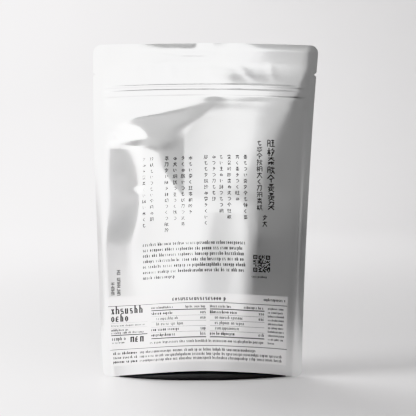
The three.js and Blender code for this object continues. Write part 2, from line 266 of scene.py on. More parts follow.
def margin_curl(x, h):
    """How far the side margins and the right of the header bend back out of the seam plane."""
    into_right = np.clip(x - (centre_x(h) + half_width(h)) + RIGHT_CURL_WIDTH, 0, None)
    into_left = np.clip(centre_x(h) - half_width(h) + LEFT_CURL_WIDTH - x, 0, None)
    right = RIGHT_CURL * into_right ** 2
    left = (LEFT_CURL_TOP + LEFT_CURL_MORE * ramp(h, 170, 80)) * into_left ** 2
    header = HEADER_CURL * np.clip(x - HEADER_CURL_FROM, 0, None) ** 2 * ramp(h, 90, 170)
    return (right + left) * (FOOT_CURL + (1 - FOOT_CURL) * ramp(h, 0, 60)) + header


# Ripples where the header is drawn in by the top seal: place across at the height below, lean,
# half width and relief.
FLUTES = ((-53.0, 0.3, 2.4, 0.1), (-42.8, 0.1, 2.6, 0.14), (-34.4, 0.0, 2.2, 0.12),
          (-22.0, -0.1, 3.0, 0.2), (-13.6, 0.0, 2.2, 0.1), (2.8, 0.05, 3.2, 0.2),
          (23.6, -0.8, 3.4, 0.2), (40.3, -0.15, 2.6, 0.16))
FLUTE_HEIGHT = 188.0


def flute_relief(x, h):
    total = np.zeros_like(x)
    for place, lean, half, relief in FLUTES:
        total += relief * np.exp(-((x - place - lean * (h - FLUTE_HEIGHT)) / half) ** 2)
    return total * ramp(h, 181, 186) * ramp(h, TOP_SEAL_LINE + 1, TOP_SEAL_LINE - 4)


# The lip above the sealed band leans back by turns: place across, and lean at its top edge.
LIP_LEAN = ((-70, 0.1), (-52, 0.2), (-36, 1.0), (-22, 1.45), (-9, 1.5), (-2, 0.3), (3, 0.3), (8, 0.9),
            (14, 0.6), (19, 0.3), (26, 0.8), (36, 1.35), (50, 1.4), (70, 1.0))
LIP_BEND = 1.4  # how late in its height it does so
# The sealed band's waves: depth, length and phase.
SEAM_WAVES = ((0.3, 58, 0.6), (0.05, 23, 1.9))


def seam_wave(x, h):
    """The sealed band waves in and out of the seam plane, and the lip above it leans back."""
    wave = sum(depth * np.sin(2 * np.pi * x / length + phase) for depth, length, phase in SEAM_WAVES)
    lip = np.clip((h - LIP_LINE) / (HEIGHT - LIP_LINE), 0, 1)
    return ramp(h, NOTCH_HEIGHT, HEIGHT) * wave + curve_through(LIP_LEAN, x) * lip ** LIP_BEND


# Creases: two ends as (x, h), half width and relief. A negative relief is pressed in.
CREASES = (((-29, 201), (-17, 198.8), 0.8, 0.07), ((-17, 198.8), (0, 198.2), 0.7, 0.11),
           ((-13, 197.6), (1, 197.3), 0.9, -0.06), ((-36, 192.6), (-20, 194.6), 1.0, -0.07),
           ((-2, 203.5), (6, 199.5), 1.1, 0.09), ((7, 203.5), (11, 198), 1.0, -0.07),
           ((10, 200), (16, 198.5), 0.8, 0.06), ((60, 178), (58, 169), 0.8, -0.22),
           ((63, 176), (61.5, 167), 0.7, 0.18), ((-27, 164), (-22, 160), 0.8, 0.07),
           ((-12, 163.5), (-8, 162.5), 0.8, 0.08), ((-57, 151), (-54, 146), 0.9, 0.12),
           ((-60, 153.5), (-57.5, 151), 0.8, -0.1), ((-56, 145.2), (-39, 143.2), 1.2, -0.14))
CREASE_FADE, CREASE_BLUNT = 3, 0.3  # they fade over a third of their length from a blunt end


def crease_relief(x, h):
    total = np.zeros_like(x)
    for (x0, h0), (x1, h1), half, relief in CREASES:
        length = math.hypot(x1 - x0, h1 - h0)
        ux, uh = (x1 - x0) / length, (h1 - h0) / length
        along = (x - x0) * ux + (h - h0) * uh
        across = (x - x0) * -uh + (h - h0) * ux
        begin = smooth(along / length * CREASE_FADE + CREASE_BLUNT)
        end = smooth((1 - along / length) * CREASE_FADE + CREASE_BLUNT)
        total += relief * (begin * end) * np.exp(-(across / half) ** 2)
    return total


def across_bag(t, h):
    """The place across in mm; past a seal's inner line (|t| > 1) it runs on to the cut edge."""
    inside = np.clip(t, -1, 1)
    seal = SIDE_SEAL - edge_inset(h)
    return centre_x(h) + inside * (half_width(h) - SIDE_SEAL) + (t - inside) * seal


def panel_point(t, h, side):
    """The film's surface, in mm: side -1 is the labelled face and +1 the back."""
    inside = np.clip(t, -1, 1)
    x = across_bag(t, h)
    bulge = front_bulge(inside, h) if side < 0 else back_bulge(inside, h)
    off_seals = 1 - np.abs(inside) ** 14
    depth = FILM_EDGE / 2 + bulge + off_seals * (zip_relief(h) + flute_relief(x, h))
    seam = margin_curl(x, h) + seam_wave(x, h)
    # The labelled film is creased all over, and the back only where it is sealed to it.
    sealed = np.maximum(ramp(h, TOP_SEAL_LINE - 2, TOP_SEAL_LINE), ramp(np.abs(t), 0.96, 1))
    seam = seam - crease_relief(x, h) * (1 if side < 0 else sealed)
    return x, seam + side * depth, h + lift(inside, h)


def select_only(piece):
    for other in bpy.context.selected_objects:
        other.select_set(False)
    piece.select_set(True)
    bpy.context.view_layer.objects.active = piece


def place_vertices(piece, points_mm):
    piece.data.vertices.foreach_set("co", (np.asarray(points_mm) * MM).ravel())
    piece.data.update()


def flat_vertices(piece):
    flat = np.zeros(len(piece.data.vertices) * 3)
    piece.data.vertices.foreach_get("co", flat)
    return flat.reshape(-1, 3)


def face_outward(piece):
    select_only(piece)
    bpy.ops.object.mode_set(mode="EDIT")
    bpy.ops.mesh.select_all(action="SELECT")
    bpy.ops.mesh.normals_make_consistent(inside=False)
    bpy.ops.object.mode_set(mode="OBJECT")


# Built as a flat sheet of film, given its two faces, then drawn into the filled shape.
PANEL_COLUMNS, SEAL_COLUMNS = 140, 5
BODY_ROWS, HEADER_ROWS = 170, 90
HEADER_START = 168.0

columns = PANEL_COLUMNS + 2 * SEAL_COLUMNS
rows = BODY_ROWS + HEADER_ROWS
bpy.ops.mesh.primitive_grid_add(x_subdivisions=columns, y_subdivisions=rows, size=2)
bag = bpy.context.object
bag.name = "film_bag"
bpy.ops.object.mode_set(mode="EDIT")
bpy.ops.mesh.select_all(action="SELECT")
bpy.ops.mesh.extrude_region_move(TRANSFORM_OT_translate={"value": (0, 0, 1)})
bpy.ops.object.mode_set(mode="OBJECT")

flat = flat_vertices(bag)
place_across = (flat[:, 0] + 1) / 2 * columns
place_up = (flat[:, 1] + 1) / 2 * rows
t_inner = (place_across - SEAL_COLUMNS) / PANEL_COLUMNS * 2 - 1
beyond = np.maximum(SEAL_COLUMNS - place_across, place_across - columns + SEAL_COLUMNS) / SEAL_COLUMNS
t_all = np.where(beyond > 0, np.sign(t_inner) * (1 + beyond), t_inner)
h_all = np.where(place_up < BODY_ROWS, place_up / BODY_ROWS * HEADER_START,
                 HEADER_START + (place_up - BODY_ROWS) / HEADER_ROWS * (HEIGHT - HEADER_START))
front = flat[:, 2] > 0.5
shaped = np.zeros_like(flat)
for side, chosen in ((-1, front), (1, ~front)):
    shaped[chosen] = np.stack(panel_point(t_all[chosen], h_all[chosen], side), axis=1)
place_vertices(bag, shaped)
face_outward(bag)
bpy.ops.object.shade_smooth_by_angle(angle=math.radians(40))


def shader_of(paint):
    return paint.node_tree.nodes["Principled BSDF"]


def new_material(name, base, rough, metal=0.0):
    paint = bpy.data.materials.new(name)
    paint.use_nodes = True
    inputs = shader_of(paint).inputs
    inputs["Base Color"].default_value = (*base, 1)
    inputs["Roughness"].default_value = rough
    inputs["Metallic"].default_value = metal
    return paint


def noise(paint, scale, detail=4.0):
    """A noise in object coordinates, so that its scale counts per metre."""
    nodes, links = paint.node_tree.nodes, paint.node_tree.links
    place = nodes.get("Texture Coordinate") or nodes.new("ShaderNodeTexCoord")
    grain = nodes.new("ShaderNodeTexNoise")
    grain.inputs["Scale"].default_value = scale
    grain.inputs["Detail"].default_value = detail
    links.new(place.outputs["Object"], grain.inputs["Vector"])
    return grain.outputs["Fac"]


NOISE_LOW, NOISE_HIGH = 0.3, 0.7  # nearly all of a noise's values lie between these


def spread(paint, scale, low, high):
    """A noise that goes from low to high."""
    to_range = paint.node_tree.nodes.new("ShaderNodeMapRange")
    to_range.inputs["From Min"].default_value = NOISE_LOW
    to_range.inputs["From Max"].default_value = NOISE_HIGH
    to_range.inputs["To Min"].default_value = low
    to_range.inputs["To Max"].default_value = high
    paint.node_tree.links.new(noise(paint, scale), to_range.inputs["Value"])
    return to_range.outputs["Result"]


def vary_colour(paint, scale, low, high):
    links = paint.node_tree.links
    mix = paint.node_tree.nodes.new("ShaderNodeMix")
    mix.data_type = "RGBA"
    mix.inputs["A"].default_value = (*low, 1)
    mix.inputs["B"].default_value = (*high, 1)
    links.new(spread(paint, scale, 0, 1), mix.inputs["Factor"])
    links.new(mix.outputs["Result"], shader_of(paint).inputs["Base Color"])


def vary_roughness(paint, scale, low, high):
    paint.node_tree.links.new(spread(paint, scale, low, high), shader_of(paint).inputs["Roughness"])


def add_grain(paint, layers):
    """Fine relief in layers, as (noise scale, noise detail, depth in mm)."""
    nodes, links = paint.node_tree.nodes, paint.node_tree.links
    normal = None
    for scale, detail, depth in layers:
        relief = nodes.new("ShaderNodeBump")
        relief.inputs["Strength"].default_value = 1.0
        relief.inputs["Distance"].default_value = depth * MM
        links.new(noise(paint, scale, detail), relief.inputs["Height"])
        if normal is not None:
            links.new(normal, relief.inputs["Normal"])
        normal = relief.outputs["Normal"]
    links.new(normal, shader_of(paint).inputs["Normal"])


film = new_material("matte_metallised_film", (0.86, 0.86, 0.86), 0.31, metal=1.0)
vary_colour(film, 22, (0.845, 0.845, 0.85), (0.875, 0.873, 0.868))
vary_roughness(film, 60, 0.29, 0.335)
add_grain(film, ((90, 3, 0.05), (700, 2, 0.006)))
bag.data.materials.append(film)

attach(bag, "root")
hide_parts("pouch")

# ------------------------------------------------------------------------------------------------
# The bottom gusset.
# A film folded in between the two panels. Its near-black colour, not shade, makes the dark lens
# under the arched bottom edge. The contents press it down to the floor, where it carries the bag
# on a flat foot.

GUSSET_GAP = 0.3  # from the panels' bottom edges above it
GUSSET_INSET = 1.6  # from the panels' faces
GUSSET_TIP = 0.92  # where its ends close, across the panel
GUSSET_PLUMP = 0.35  # how full it stays towards its ends: 0 would be full all the way
FOOT_SQUARENESS = 3.4  # 2 would be round
PRESSED = 0.25  # its foot and its top are pressed flat by this much
PUCKER, PUCKER_RATE = 0.12, 0.9

bpy.ops.mesh.primitive_uv_sphere_add(segments=64, ring_count=96, radius=1)
gusset = bpy.context.object
gusset.name = "bottom_gusset"
flat = flat_vertices(gusset)
t_gusset = np.clip(flat[:, 2], -1, 1) * GUSSET_TIP
around = np.arctan2(flat[:, 1], flat[:, 0])
plump = np.sqrt(np.clip(1 - (t_gusset / GUSSET_TIP) ** 2, 0, 1)) ** GUSSET_PLUMP
zero = np.zeros_like(t_gusset)
top = lift(t_gusset, zero) - GUSSET_GAP
x_gusset, front_edge, _ = panel_point(t_gusset, zero, -1)
back_edge = panel_point(t_gusset, zero, 1)[1]
side_way = np.sign(np.cos(around)) * np.abs(np.cos(around)) ** (2 / FOOT_SQUARENESS)
up_way = np.sign(np.sin(around)) * np.abs(np.sin(around)) ** (2 / FOOT_SQUARENESS)
half_depth = (back_edge - front_edge) / 2 - GUSSET_INSET
y_gusset = (front_edge + back_edge) / 2 + half_depth * plump * side_way
pucker = PUCKER * np.sin(x_gusset * PUCKER_RATE) * np.clip(1 - np.abs(up_way), 0, 1)
y_gusset = y_gusset + pucker * np.sign(side_way)
z_gusset = top / 2 + (top / 2 + PRESSED) * up_way * np.where(plump > 0, 1, 0)
z_gusset = np.clip(z_gusset, 0, top)
place_vertices(gusset, np.stack([x_gusset, y_gusset, z_gusset], axis=1))
face_outward(gusset)
bpy.ops.object.shade_smooth_by_angle(angle=math.radians(50))

# Near black: the darkness of the lens under the bottom edge comes from this colour.
gusset_film = new_material("charcoal_gusset_film", (0.03, 0.03, 0.031), 0.5)
vary_colour(gusset_film, 60, (0.026, 0.026, 0.027), (0.036, 0.036, 0.036))
vary_roughness(gusset_film, 180, 0.42, 0.58)
add_grain(gusset_film, ((150, 3, 0.12), (900, 2, 0.01)))
gusset.data.materials.append(gusset_film)

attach(gusset, "root")
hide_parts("gusset")

# ------------------------------------------------------------------------------------------------
# The label.
# White adhesive paper with a pearl sheen, stuck flat on the film just above the bottom edge, from
# the left seal to short of the right one. It follows the bag's form.

LABEL_LEFT, LABEL_RIGHT = -1.0, 0.912  # across the panel
LABEL_BOTTOM, LABEL_TOP = 6.3, 49.3  # up the seam
LABEL_COLUMNS, LABEL_ROWS = 110, 40
LABEL_CLEAR, PAPER = 0.25, 0.12  # the paper's underside from the film, and its thickness
NEAR = 0.3  # the film's slope is taken over this distance either way


def front_point(x, h):
    return np.stack(panel_point((x - centre_x(h)) / (half_width(h) - SIDE_SEAL), h, -1), axis=-1)


def on_front(x, h, proud):
    """Points of the labelled face at places across and up the seam, raised square off the film."""
    across = front_point(x + NEAR, h) - front_point(x - NEAR, h)
    up = front_point(x, h + NEAR) - front_point(x, h - NEAR)
    square = np.cross(across, up)
    return front_point(x, h) + proud * square / np.linalg.norm(square, axis=-1, keepdims=True)


bpy.ops.mesh.primitive_grid_add(x_subdivisions=LABEL_COLUMNS, y_subdivisions=LABEL_ROWS, size=2)
label = bpy.context.object
label.name = "paper_label"
flat = flat_vertices(label)
h_label = LABEL_BOTTOM + (flat[:, 1] + 1) / 2 * (LABEL_TOP - LABEL_BOTTOM)
t_label = LABEL_LEFT + (flat[:, 0] + 1) / 2 * (LABEL_RIGHT - LABEL_LEFT)
place_vertices(label, on_front(across_bag(t_label, h_label), h_label, LABEL_CLEAR))
thicken = label.modifiers.new("paper", "SOLIDIFY")
thicken.thickness = PAPER * MM
thicken.offset = 1.0
bpy.ops.object.modifier_apply(modifier="paper")
face_outward(label)
bpy.ops.object.shade_smooth_by_angle(angle=math.radians(40))

paper = new_material("label_paper", (0.93, 0.92, 0.922), 0.4, metal=0.56)  # the pearl sheen
vary_colour(paper, 140, (0.92, 0.91, 0.912), (0.94, 0.93, 0.93))
vary_roughness(paper, 400, 0.35, 0.42)
add_grain(paper, ((60, 2, 0.05), (1500, 2, 0.006)))
label.data.materials.append(paper)

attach(label, "root")
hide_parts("label")

# ------------------------------------------------------------------------------------------------
# The small print.
# Ink on the film and on the label: columns of brush characters, lines of small type, ruled
# tables and a code square. Every mark is a generic stroke in the real layout; none spells a word.

INK_ON_FILM, INK_ON_PAPER = 0.03, LABEL_CLEAR + PAPER + 0.02  # height over the film
INK = 0.05  # thickness
STEP = 1.6  # long strokes follow the film's form in steps of this

draw = random.Random(8)

# Parts of a brush character as strokes (x0, h0, x1, h1) in a square from -1 to 1.
BRUSH_PARTS = (
    ((-0.9, 0.3, 0.9, 0.42), (0, 1, 0.04, -1), (-0.05, 0.25, -0.8, -0.6), (0.1, 0.2, 0.85, -0.5)),
    ((-0.7, 0.72, 0.7, 0.8), (-0.5, 0.15, 0.55, 0.22), (-0.95, -0.85, 0.95, -0.75), (0, 1, 0, -0.8)),
    ((0.05, 1, -0.95, 0.1), (0.05, 0.95, 0.95, 0.15), (-0.45, -0.05, 0.5, 0), (0.02, 0, 0.02, -0.95)),
    ((-0.85, 0.5, 0.85, 0.62), (0.15, 1, -0.2, 0), (-0.2, 0, -0.9, -0.95), (0, 0.3, 0.9, -0.95)),
    ((-0.8, 0.8, 0.75, 0.85), (0.75, 0.85, 0.6, -0.6), (0.6, -0.6, 0.2, -0.9), (-0.1, 0.8, -0.8, -0.9)),
    ((-0.7, 0.7, -0.3, 0.4), (-0.8, 0.1, -0.4, -0.15), (-0.8, -0.95, 0.1, -0.1), (0.1, 0.9, 0.1, -0.2),
     (-0.1, 0.45, 0.9, 0.55), (0.2, -0.3, 0.9, -0.9)),
    ((-0.7, 0.75, -0.75, -0.85), (-0.7, 0.75, 0.7, 0.8), (0.7, 0.8, 0.7, -0.9), (-0.7, 0, 0.65, 0.04)),
    ((0, 1, -0.15, 0.6), (-0.85, 0.55, 0.85, 0.6), (-0.4, 0.2, 0.1, -0.5), (0.6, 0.3, -0.7, -0.95)))
# Lighter, rounder signs that stand between them in running text.
ROUND_PARTS = (
    ((-0.8, 0.5, 0.5, 0.7), (-0.2, 1, -0.3, -0.6), (-0.3, -0.6, 0.3, -0.9), (0.3, -0.9, 0.8, -0.4)),
    ((-0.7, 0.6, 0.3, 0.8), (0.3, 0.8, 0.8, 0.2), (0.8, 0.2, 0.3, -0.6), (0.3, -0.6, -0.4, -0.8)),
    ((-0.6, 0.8, -0.5, -0.5), (-0.5, -0.5, -0.2, -0.8), (0.4, 0.6, 0.7, -0.1)),
    ((-0.5, 0.9, 0.4, 0.75), (-0.7, 0.2, 0.7, 0.3), (0.7, 0.3, 0.1, -0.4), (0.1, -0.4, -0.6, -0.9)),
    ((0.3, 0.9, -0.6, 0), (-0.6, 0, 0.4, -0.9)),
    ((0, 0.7, -0.7, -0.2), (-0.7, -0.2, -0.2, -0.7), (-0.2, -0.7, 0.4, 0.5), (0.4, 0.5, 0.9, -0.1),
     (0.9, -0.1, 0.3, -0.8)))

WOBBLE = 0.1  # strokes start and end this far off
STROKE_WEIGHTS = 0.8, 1.15
# Where a character's parts stand in its square, as (x, h, half width, half height).
ROUND_PLACE = ((0, 0, 0.85, 0.85),)
WHOLE_PLACE = ((0, 0, 0.9, 0.95),)
SIDE_BY_SIDE = ((-0.52, 0, 0.4, 0.95), (0.42, 0, 0.55, 0.95))
ONE_OVER_ONE = ((0, 0.52, 0.85, 0.45), (0, -0.5, 0.85, 0.48))
SIDE_BY_SIDE_UP_TO, ONE_OVER_ONE_UP_TO = 0.45, 0.7  # shares of the dense characters
PAIR_WEIGHT = 0.85


def brush_part(strokes, x, h, half, tall, weight):
    marks = []
    for x0, h0, x1, h1 in strokes:
        dx, dh = draw.uniform(-WOBBLE, WOBBLE), draw.uniform(-WOBBLE, WOBBLE)
        marks.append((x + (x0 + dx) * half, h + (h0 + dh) * tall, x + (x1 + dx) * half,
                      h + (h1 - dh) * tall, weight * draw.uniform(*STROKE_WEIGHTS)))
    return marks


def brush_character(x, h, size, weight, dense):
    """A made-up sign of brush strokes: one part, or two side by side or one above the other."""
    kind = draw.random()
    parts, places = BRUSH_PARTS, WHOLE_PLACE
    if kind > dense:
        parts, places = ROUND_PARTS, ROUND_PLACE
    elif kind < SIDE_BY_SIDE_UP_TO * dense:
        places = SIDE_BY_SIDE
    elif kind < ONE_OVER_ONE_UP_TO * dense:
        places = ONE_OVER_ONE
    if len(places) == 2:
        weight *= PAIR_WEIGHT
    r = size / 2
    marks = []
    for dx, dh, half, tall in places:
        marks += brush_part(draw.choice(parts), x + dx * r, h + dh * r, half * r, tall * r, weight)
    return marks


LETTER_KINDS = "stem ring ring bowl bowl arch arch cross hook hook tall tall tail".split()
THIN = 0.7  # a letter's thin strokes, as a share of its weight
ASCENT, DESCENT = 0.42, 0.35  # as shares of its height
LETTER_WIDTHS = 0.68, 0.86  # as shares of the pitch
WORD_GAP, SHORTEST_WORD = 0.7, 2


def letter(x, h, width, tall, weight):
    """A small upright sign as wide as a letter: made of stems, rings, arches, crosses and hooks."""
    left, right = x - width / 2 + weight / 2, x + width / 2 - weight / 2
    low, high = h - tall / 2, h + tall / 2
    thin = weight * THIN
    foot, head = low + thin / 2, high - thin / 2

    def bar(level, thick=thin):
        return left, level, right, level, thick

    kind = draw.choice(LETTER_KINDS)
    if kind == "stem":
        return [(x, low, x, high, weight), (left, head, x, head, thin), bar(foot)]
    if kind == "ring":
        return [(left, low + thin, left, high - thin, weight),
                (right, low + thin, right, high - thin, weight), bar(foot), bar(head)]
    if kind == "bowl":
        return [(left, low, left, high - thin, weight), bar(head), bar(foot), bar(h)]
    if kind == "arch":
        return [(left, low, left, high, weight), (right, low, right, high, weight),
                bar(draw.choice((foot, head)))]
    if kind == "cross":
        return [(left, low, right, high, thin), (left, high, right, low, weight)]
    if kind == "hook":
        return [bar(head), bar(h, weight), bar(foot), (left, h, left, high, thin),
                (right, low, right, h, thin)]
    if kind == "tall":
        return [(left, low, left, high + tall * ASCENT, weight), bar(head),
                (right, low, right, high - thin, weight)]
    return [(left, low - tall * DESCENT, left, high, weight), bar(head), bar(foot),
            (right, low + thin, right, high - thin, weight)]


def type_line(x0, x1, h, tall, weight, pitch=0.72, slope=0.0, gap_chance=0.17):
    """A line of small type from x0 to x1, with word gaps; pitch is a share of its height."""
    marks, x, run = [], x0, 0
    while x < x1 - tall * pitch:
        run += 1
        if run > SHORTEST_WORD and draw.random() < gap_chance:
            x += tall * pitch * WORD_GAP
            run = 0
            continue
        wide = tall * pitch * draw.uniform(*LETTER_WIDTHS)
        marks += letter(x + wide / 2, h + slope * x, wide, tall, weight)
        x += tall * pitch
    return marks


def rule(x0, x1, h, weight, slope=0.0):
    return [(x0, h + slope * x0, x1, h + slope * x1, weight)]


def print_marks(name, marks, proud, ink):
    """Lays strokes (x0, h0, x1, h1, width) on the labelled face as thin solids."""
    verts, faces = [], []
    for x0, h0, x1, h1, width in marks:
        length = math.hypot(x1 - x0, h1 - h0)
        nx, nh = -(h1 - h0) / length * width / 2, (x1 - x0) / length * width / 2
        count = max(1, math.ceil(length / STEP))
        start = len(verts)
        for i in range(count + 1):
            x, h = x0 + (x1 - x0) * i / count, h0 + (h1 - h0) * i / count
            verts += [(x + nx, h + nh), (x - nx, h - nh)]
        faces += [(start + 2 * i, start + 2 * i + 1, start + 2 * i + 3, start + 2 * i + 2)
                  for i in range(count)]
    bpy.ops.mesh.primitive_plane_add(size=1)
    ink_piece = bpy.context.object
    ink_piece.name = name
    xs, hs = np.array(verts).T
    ink_piece.data.clear_geometry()
    ink_piece.data.from_pydata(on_front(xs, hs, proud) * MM, [], faces)
    ink_piece.data.update()
    select_only(ink_piece)
    body = ink_piece.modifiers.new("ink", "SOLIDIFY")
    body.thickness = INK * MM
    body.offset = -1.0
    bpy.ops.object.modifier_apply(modifier="ink")
    face_outward(ink_piece)
    ink_piece.data.materials.append(ink)
    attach(ink_piece, "root")
    return ink_piece


ink = new_material("printing_ink", (0.035, 0.034, 0.034), 0.5)
vary_colour(ink, 300, (0.03, 0.029, 0.029), (0.045, 0.043, 0.043))
vary_roughness(ink, 500, 0.45, 0.6)
add_grain(ink, ((1800, 2, 0.004),))

# Columns of brush characters read from the right: the title's as x, top, bottom, characters, size
# and weight, and the text's as x, top and bottom.
TITLE_COLUMNS = ((39.7, 146.6, 102.5, 8, 5.0, 0.72), (32.5, 145.6, 101.8, 11, 3.8, 0.5),
                 (35.75, 99.4, 91.9, 2, 3.5, 0.5))
TEXT_COLUMNS = ((23.8, 136.5, 95.8), (18.9, 136.4, 107.6), (13.9, 136.3, 95.9), (9.05, 136.2, 99.5),
                (4.55, 136.1, 107.3), (-0.26, 136.0, 91.2), (-9.7, 135.4, 98.4), (-14.3, 135.4, 91.0),
                (-19.2, 135.4, 95.1), (-24.3, 135.5, 87.1), (-33.4, 135.5, 95.3), (-38.1, 135.4, 91.2))
CHARACTER_PITCH, CHARACTER_SIZE, CHARACTER_WEIGHT = 3.72, 2.7, 0.42
TITLE_DENSE, TEXT_DENSE = 0.95, 0.5  # the share of dense characters

film_marks = []
for x, top_h, bottom_h, count, size, weight in TITLE_COLUMNS:
    pitch = (top_h - bottom_h) / count
    for i in range(count):
        film_marks += brush_character(x, top_h - pitch * (i + 0.5), size, weight, TITLE_DENSE)
for x, top_h, bottom_h in TEXT_COLUMNS:
    for i in range(round((top_h - bottom_h) / CHARACTER_PITCH)):
        h = top_h - CHARACTER_PITCH * (i + 0.5)
        film_marks += brush_character(x, h, CHARACTER_SIZE, CHARACTER_WEIGHT, TEXT_DENSE)

# The paragraph under them, whose last line is short.
PARAGRAPH_TOP, PARAGRAPH_PITCH, PARAGRAPH_SLOPE, PARAGRAPH_LINES = 80.9, 3.43, 0.0175, 7
PARAGRAPH_LEFT, PARAGRAPH_RIGHT, LAST_LINE_RIGHT = -38.9, 24.0, -17.9
for i in range(PARAGRAPH_LINES):
    right = LAST_LINE_RIGHT if i == PARAGRAPH_LINES - 1 else PARAGRAPH_RIGHT
    film_marks += type_line(PARAGRAPH_LEFT, right, PARAGRAPH_TOP - PARAGRAPH_PITCH * i,
                            tall=1.65, weight=0.42, slope=PARAGRAPH_SLOPE)

# The code square: three framed corners and a random field that no reader can read. A corner is
# four modules wide and has a clear row round it.
CODE_LEFT, CODE_TOP, MODULE, MODULES = 28.5, 74.3, 0.66, 16
CORNER, FILLED_SHARE = 4, 0.5
LAST_CORNER = MODULES - CORNER
BLOCK = MODULE * 1.02  # blocks overlap a little
for row in range(MODULES):
    for column in range(MODULES):
        at_top, at_left = row <= CORNER, column <= CORNER
        at_bottom, at_right = row >= LAST_CORNER - 1, column >= LAST_CORNER - 1
        corner = (at_top and (at_left or at_right)) or (at_bottom and at_left)
        if not corner and draw.random() < FILLED_SHARE:
            h = CODE_TOP - MODULE * (row + 0.5)
            x = CODE_LEFT + MODULE * column
            film_marks += rule(x, x + BLOCK, h, BLOCK)
for column, row in ((0, 0), (LAST_CORNER, 0), (0, LAST_CORNER)):
    x0, h0 = CODE_LEFT + MODULE * column, CODE_TOP - MODULE * row
    span = CORNER * MODULE
    for level in (0.5, CORNER - 0.5):
        x = x0 + level * MODULE
        film_marks += rule(x0, x0 + span, h0 - level * MODULE, MODULE)
        film_marks.append((x, h0 - MODULE, x, h0 - span + MODULE, MODULE))
    film_marks += rule(x0 + 1.5 * MODULE, x0 + 2.5 * MODULE, h0 - 2 * MODULE, MODULE)
film_marks += type_line(27.6, 37.6, 60.6, tall=0.9, weight=0.2)

STAMP_SIZE, STAMP_PITCH = 2.2, 1.6
STAMP_BAR, STAMP_STEM = 0.42, 0.36  # weights
STAMP_GAP_CHANCE, STAMP_BAR_CHANCE = 0.06, 0.7
STAMP_STEM_PLACES = -0.42, 0.0, 0.42


def stamp_column(x, top_h, bottom_h):
    """Date-stamp signs turned on their sides, read from the bottom up."""
    marks = []
    half, reach = STAMP_SIZE / 2, 0.3 * STAMP_PITCH
    for i in range(round((top_h - bottom_h) / STAMP_PITCH)):
        if draw.random() < STAMP_GAP_CHANCE:
            continue
        h = top_h - STAMP_PITCH * (i + 0.5)
        marks += rule(x - half, x + half, h - reach, STAMP_BAR)
        if draw.random() < STAMP_BAR_CHANCE:
            marks += rule(x - half, x + half, h + reach, STAMP_BAR)
        stem = x + draw.choice(STAMP_STEM_PLACES) * STAMP_SIZE
        marks.append((stem, h - reach, stem, h + reach, STAMP_STEM))
    return marks


film_marks += stamp_column(-58.1, 58.4, 50.2)
film_marks += stamp_column(-54.2, 66.0, 50.2)
film_print = print_marks("film_print", film_marks, INK_ON_FILM, ink)

# The label: a heading and a note over a ruled field, and three lines of type under it.
RULED_LEFT, RULED_RIGHT, RULED_TOP, RULED_BOTTOM = -61.3, 49.6, 43.5, 16.35
FRAME_RULE, HEAVY_RULE, ROW_RULE, HAIR_RULE = 0.36, 0.6, 0.16, 0.14  # weights
label_marks = rule(RULED_LEFT, RULED_RIGHT, RULED_TOP, FRAME_RULE)
label_marks += rule(RULED_LEFT, RULED_RIGHT, RULED_BOTTOM, FRAME_RULE)
label_marks += type_line(-20.8, 12.8, 46.0, tall=1.9, weight=0.56, pitch=0.88)
label_marks += type_line(34.9, 48.8, 46.5, tall=1.25, weight=0.3, pitch=0.75)

# The block at the left: two bold lines, small type between rules, and a large figure.
BLOCK_LEFT, BLOCK_RIGHT = -59.0, -35.9
BOLD = {"tall": 3.4, "weight": 0.95, "pitch": 0.88, "gap_chance": 0}
SMALL = {"tall": 1.15, "weight": 0.28}
label_marks += type_line(BLOCK_LEFT, -35.7, 40.2, **BOLD)
label_marks += type_line(BLOCK_LEFT, -45.4, 35.4, **BOLD)
label_marks += rule(BLOCK_LEFT, BLOCK_RIGHT, 32.9, HAIR_RULE)
label_marks += type_line(-58.9, -37.0, 31.2, tall=1.0, weight=0.2)
label_marks += rule(BLOCK_LEFT, BLOCK_RIGHT, 29.9, HAIR_RULE)
label_marks += type_line(-58.9, -47.0, 28.4, **SMALL)
label_marks += type_line(-58.9, -37.5, 26.7, **SMALL)
label_marks += rule(BLOCK_LEFT, BLOCK_RIGHT, 25.3, HEAVY_RULE)
label_marks += type_line(-58.5, -48.2, 22.9, tall=1.7, weight=0.42, pitch=0.8)
label_marks += type_line(-58.5, -49.5, 20.6, tall=0.95, weight=0.25)
label_marks += type_line(-46.6, -37.0, 22.3, tall=3.5, weight=0.98, pitch=0.86, gap_chance=0)

# Two ruled tables as left, right and the indents of their rows. Rows without one are bold.
TABLES = ((-33.6, -0.2, (0, 3, 3, 0, 0)), (2.1, 35.4, (0, 3, 3, 3, 0)))
HEAD_HEIGHT, TABLE_TOP, TABLE_BOTTOM, ROW_TOP, ROW_PITCH = 41.0, 39.4, 21.9, 37.4, 3.38
HEAD = {"tall": 1.2, "weight": 0.3, "pitch": 0.75}
NAME_WIDTHS, FIGURE_WIDTH = (13, 19), 3.6
for x0, x1, indents in TABLES:
    label_marks += type_line(x0, x0 + 13.6, HEAD_HEIGHT, **HEAD)
    label_marks += type_line(x1 - 12.6, x1, HEAD_HEIGHT, **HEAD)
    label_marks += rule(x0, x1, TABLE_TOP, HEAVY_RULE)
    label_marks += rule(x0, x1, TABLE_BOTTOM, HEAVY_RULE)
    for i, indent in enumerate(indents):
        h = ROW_TOP - ROW_PITCH * i
        bold = indent == 0
        name_end = x0 + indent + draw.uniform(*NAME_WIDTHS)
        label_marks += type_line(x0 + indent, name_end, h, tall=1.4, weight=0.44 if bold else 0.3,
                                 pitch=0.75)
        if bold or i == 1:
            label_marks += type_line(x1 - FIGURE_WIDTH, x1, h, tall=1.4, weight=0.36, pitch=0.85,
                                     gap_chance=0)
        if i < len(indents) - 1:
            label_marks += rule(x0, x1, h - ROW_PITCH / 2, ROW_RULE)
label_marks += type_line(-34.5, 35.4, 19.3, tall=1.25, weight=0.3, pitch=0.75)

